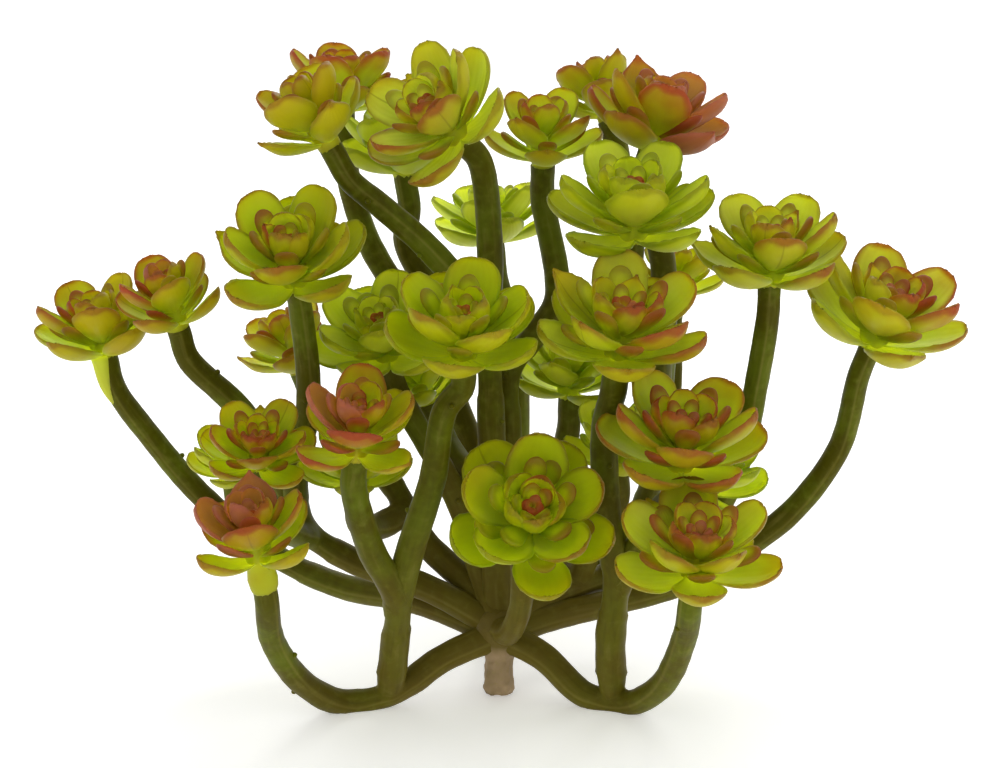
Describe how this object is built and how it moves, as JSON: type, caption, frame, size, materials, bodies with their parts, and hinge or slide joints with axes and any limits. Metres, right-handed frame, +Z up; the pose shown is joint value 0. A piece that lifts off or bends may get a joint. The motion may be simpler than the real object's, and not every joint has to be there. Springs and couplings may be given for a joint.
{
  "type": "artificial tree aeonium",
  "caption": "Artificial branching succulent with no pot: bent stems spread from a short cut stub and each ends in a rosette of spoon-shaped leaves.",
  "frame": {"origin": "centre of the bounding box in X and Y, at the level of the surface that the plant rests on", "axes": "+X to the right in the picture and along the longest extent, -Y towards the picture's camera, +Z up"},
  "size_m": [0.2566, 0.174, 0.1837],
  "materials": {
    "stub": "matt, slightly rough",
    "stem": "satin",
    "leaf_green": "soft sheen, slightly waxy",
    "leaf_bright": "soft sheen, slightly waxy",
    "leaf_pale": "soft sheen, slightly waxy",
    "leaf_olive": "soft sheen, slightly waxy",
    "leaf_yellow": "soft sheen, slightly waxy",
    "leaf_red": "soft sheen, slightly waxy"
  },
  "bodies": {
    "root": {"stub": "stub", "stem_front_left": "stem", "rosette_front_left_1": "leaf_red", "rosette_front_left_2": "leaf_red", "rosette_front_left_3": "leaf_green", "stem_front_right": "stem", "rosette_front_right_1": "leaf_red", "rosette_front_right_2": "leaf_green", "rosette_front_right_3": "leaf_red", "stem_front": "stem", "rosette_front_1": "leaf_green", "stem_left_low": "stem", "rosette_left_low_1": "leaf_yellow", "rosette_left_low_2": "leaf_pale", "stem_left_high": "stem", "rosette_left_high_1": "leaf_green", "rosette_left_high_2": "leaf_yellow", "rosette_left_high_3": "leaf_olive", "stem_left_steep": "stem", "rosette_left_steep_1": "leaf_yellow", "rosette_left_steep_2": "leaf_green", "stem_middle_left": "stem", "rosette_middle_left_1": "leaf_green", "stem_middle": "stem", "rosette_middle_1": "leaf_yellow", "rosette_middle_2": "leaf_yellow", "rosette_middle_3": "leaf_pale", "stem_middle_back": "stem", "rosette_middle_back_1": "leaf_green", "rosette_middle_back_2": "leaf_bright", "stem_right_low": "stem", "rosette_right_low_1": "leaf_yellow", "stem_right_high": "stem", "rosette_right_high_1": "leaf_yellow", "rosette_right_high_2": "leaf_pale", "rosette_right_high_3": "leaf_pale", "rosette_right_high_4": "leaf_green", "stem_back_right": "stem", "rosette_back_right_1": "leaf_green", "rosette_back_right_2": "leaf_red", "rosette_back_right_3": "leaf_yellow", "rosette_back_right_4": "leaf_yellow", "stem_back_left": "stem", "rosette_back_left_1": "leaf_red", "stem_back": "stem", "rosette_back_1": "leaf_bright"}
  },
  "joints": []
}
